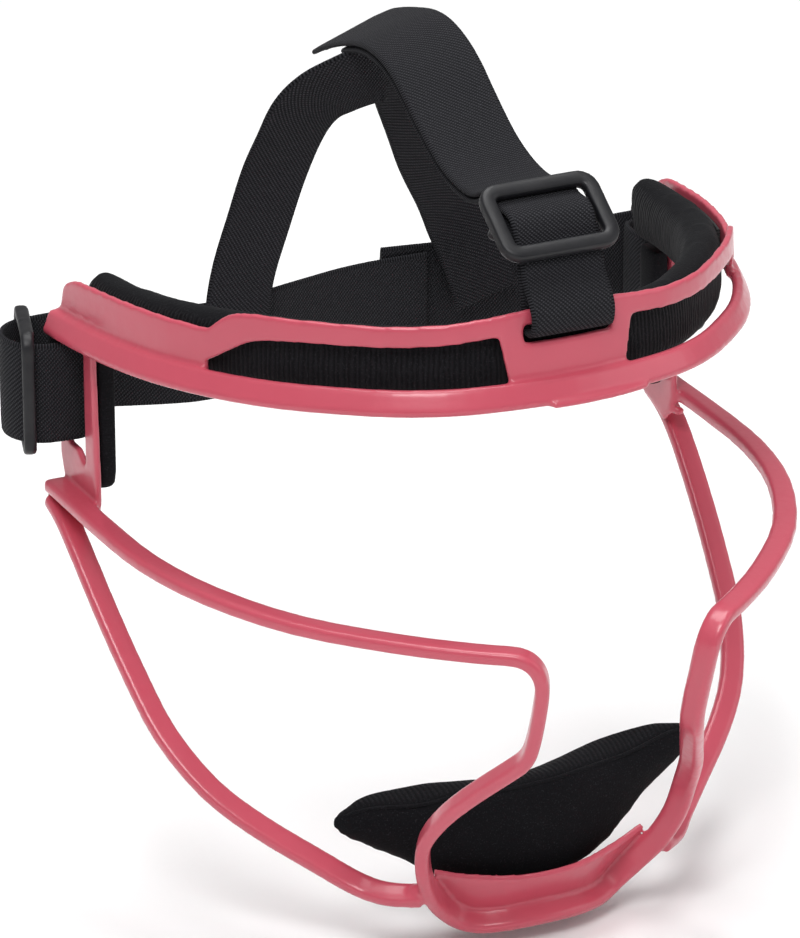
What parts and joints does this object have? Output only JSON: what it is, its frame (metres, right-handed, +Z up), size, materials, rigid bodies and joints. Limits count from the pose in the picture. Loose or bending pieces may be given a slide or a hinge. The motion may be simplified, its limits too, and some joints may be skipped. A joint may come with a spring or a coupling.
{
  "type": "fielder's face mask",
  "caption": "Open welded steel face cage with forehead, temple and chin pads and an adjustable elastic head harness.",
  "frame": {"origin": "middle of the head opening, level with the brow rail; the frame claim is the head mount at this point", "axes": "+Z up, the face opening looks along -Y, the wearer's left is +X"},
  "size_m": [0.2206, 0.1864, 0.2409],
  "materials": {
    "cage_paint": "gloss powder coat",
    "pad_fabric": "brushed knit",
    "pad_foam": "closed-cell foam",
    "hook_tape": "hook-and-loop tape",
    "webbing": "woven elastic",
    "buckle_plastic": "semi-gloss"
  },
  "bodies": {
    "frame": {"brow_rail": "cage_paint", "brow_plate": "cage_paint", "brow_tab": "cage_paint", "temple_plate_right": "cage_paint", "temple_plate_left": "cage_paint", "face_rail": "cage_paint", "jaw_rail_right": "cage_paint", "jaw_rail_left": "cage_paint", "chin_plate": "cage_paint", "weld_beads": "cage_paint", "forehead_pad": "pad_fabric", "temple_pad_right": "pad_fabric", "temple_pad_left": "pad_fabric", "chin_pad": "pad_fabric", "forehead_foam": "pad_foam", "temple_foam_right": "pad_foam", "temple_foam_left": "pad_foam", "chin_foam": "pad_foam", "brow_hook_strips": "hook_tape", "chin_hook_strip": "hook_tape", "crown_strap": "webbing", "crown_leg_right": "webbing", "crown_leg_left": "webbing", "rear_strap_right": "webbing", "rear_strap_left": "webbing"},
    "crown_buckle": {"crown_buckle": "buckle_plastic"},
    "rear_buckle_right": {"rear_buckle_right": "buckle_plastic"},
    "rear_buckle_left": {"rear_buckle_left": "buckle_plastic"}
  },
  "joints": [
    {"name": "crown_adjust", "type": "hinge", "parent": "frame", "child": "crown_buckle", "pos_m": [0, -0.0675, 0.0275], "axis": [1, 0, 0], "range_deg": [-5, 5]},
    {"name": "rear_right_adjust", "type": "hinge", "parent": "frame", "child": "rear_buckle_right", "pos_m": [-0.0985, 0.0386, -0.0265], "axis": [0, 0, 1], "range_deg": [-6, 6]},
    {"name": "rear_left_adjust", "type": "hinge", "parent": "frame", "child": "rear_buckle_left", "pos_m": [0.0985, 0.0386, -0.0265], "axis": [0, 0, 1], "range_deg": [-6, 6]}
  ]
}
